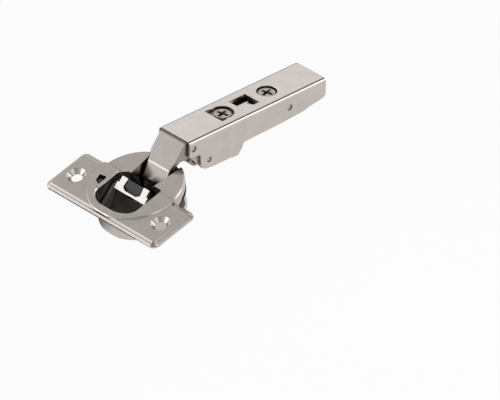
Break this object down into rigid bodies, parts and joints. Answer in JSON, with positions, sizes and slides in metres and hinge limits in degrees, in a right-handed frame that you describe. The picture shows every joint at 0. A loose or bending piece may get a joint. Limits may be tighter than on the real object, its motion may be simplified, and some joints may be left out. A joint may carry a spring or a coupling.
{
  "type": "concealed cabinet hinge",
  "caption": "Concealed cabinet hinge with a die-cast cup, screw flange, folding links, soft-close slider and a clip-on channel arm with adjusting screws, shown open",
  "frame": {"origin": "cup axis at the door face, under the flange", "axes": "+Z out of the cup's mouth, away from the door; +X from the cup to the arm and the door's edge; +Y along the screw flange"},
  "size_m": [0.1079, 0.059, 0.0254],
  "materials": {
    "cast_nickel": "satin nickel on die-cast zinc",
    "link_nickel": "satin nickel on pressed steel",
    "arm_nickel": "satin nickel on pressed steel",
    "inner_steel": "plated steel",
    "screw_steel": "plated steel, satin",
    "pin_steel": "plain steel",
    "spring_steel": "dark spring steel",
    "bright_steel": "bright plated steel",
    "dark_plastic": "near-black moulded plastic"
  },
  "bodies": {
    "cup": {"cup_body": "cast_nickel", "outer_link_cup_pin": "pin_steel", "inner_link_cup_pin": "pin_steel", "closing_spring": "spring_steel", "spring_sleeve": "dark_plastic", "damper_tray": "dark_plastic", "damper_cap": "dark_plastic"},
    "outer_link_body": {"outer_link": "link_nickel"},
    "inner_link_body": {"inner_link": "link_nickel"},
    "arm": {"arm_channel": "arm_nickel", "outer_link_arm_pin": "pin_steel", "inner_link_arm_pin": "pin_steel", "tilt_rivet_left": "pin_steel", "tilt_rivet_right": "pin_steel", "pivot_bracket": "inner_steel"},
    "carriage": {"inner_channel": "inner_steel", "adjusting_nut": "inner_steel"},
    "side_screw_body": {"side_screw": "screw_steel"},
    "depth_screw_body": {"depth_screw": "screw_steel"},
    "clip_base_body": {"clip_base": "inner_steel", "hook_pin": "pin_steel", "lever_pin": "pin_steel", "release_spring": "spring_steel"},
    "release_lever_body": {"release_lever": "inner_steel"},
    "damper_slider": {"slider_block": "dark_plastic", "slider_bracket": "bright_steel"},
    "switch": {"soft_close_switch": "dark_plastic"}
  },
  "joints": [
    {"name": "fold", "type": "hinge", "parent": "cup", "child": "outer_link_body", "pos_m": [0.0096, 0, -0.0068], "axis": [0, -1, 0], "range_deg": [0, 110]},
    {"name": "arm_turn", "type": "hinge", "parent": "outer_link_body", "child": "arm", "pos_m": [0.0228, 0, 0.00603], "axis": [0, -1, 0], "range_deg": [-4.68, 0]},
    {"name": "inner_link_turn", "type": "hinge", "parent": "cup", "child": "inner_link_body", "pos_m": [0.01212, 0, -0.0025], "axis": [0, -1, 0], "range_deg": [0, 137.86]},
    {"name": "damper_slide", "type": "slide", "parent": "cup", "child": "damper_slider", "axis": [-0.6018, 0, -0.7986], "range_m": [0, 0.00881]},
    {"name": "switch_slide", "type": "slide", "parent": "cup", "child": "switch", "axis": [1, 0, 0], "range_m": [0, 0.0011]},
    {"name": "side_screw_turn", "type": "hinge", "parent": "arm", "child": "side_screw_body", "pos_m": [0.04488, 0, 0.00335], "axis": [0.2644, 0, 0.9644], "range_deg": [-360.5, 360.5]},
    {"name": "carriage_tilt", "type": "hinge", "parent": "arm", "child": "carriage", "pos_m": [0.06922, 0, -0.00866], "axis": [0, -1, 0], "range_deg": [-2.1, 2.1]},
    {"name": "depth_screw_turn", "type": "hinge", "parent": "carriage", "child": "depth_screw_body", "pos_m": [0.06658, 0, -0.0026], "axis": [0.2644, 0, 0.9644], "range_deg": [-45.5, 45.5]},
    {"name": "depth_slide", "type": "slide", "parent": "carriage", "child": "clip_base_body", "axis": [0.9644, 0, -0.2644], "range_m": [-0.00165, 0.00165]},
    {"name": "lever_turn", "type": "hinge", "parent": "clip_base_body", "child": "release_lever_body", "pos_m": [0.0718, 0, -0.01191], "axis": [0, -1, 0], "range_deg": [0, 8], "stiffness_Nm_per_rad": 0.05}
  ],
  "couplings": [
    {"joint": "arm_turn", "follows": "fold", "ratio": -0.042454},
    {"joint": "inner_link_turn", "follows": "fold", "ratio": 1.2532},
    {"joint": "damper_slide", "follows": "fold", "m_per_rad": 0.0045837},
    {"joint": "side_screw_turn", "follows": "carriage_tilt", "ratio": 171.43},
    {"joint": "depth_screw_turn", "follows": "depth_slide", "rad_per_m": -476}
  ]
}
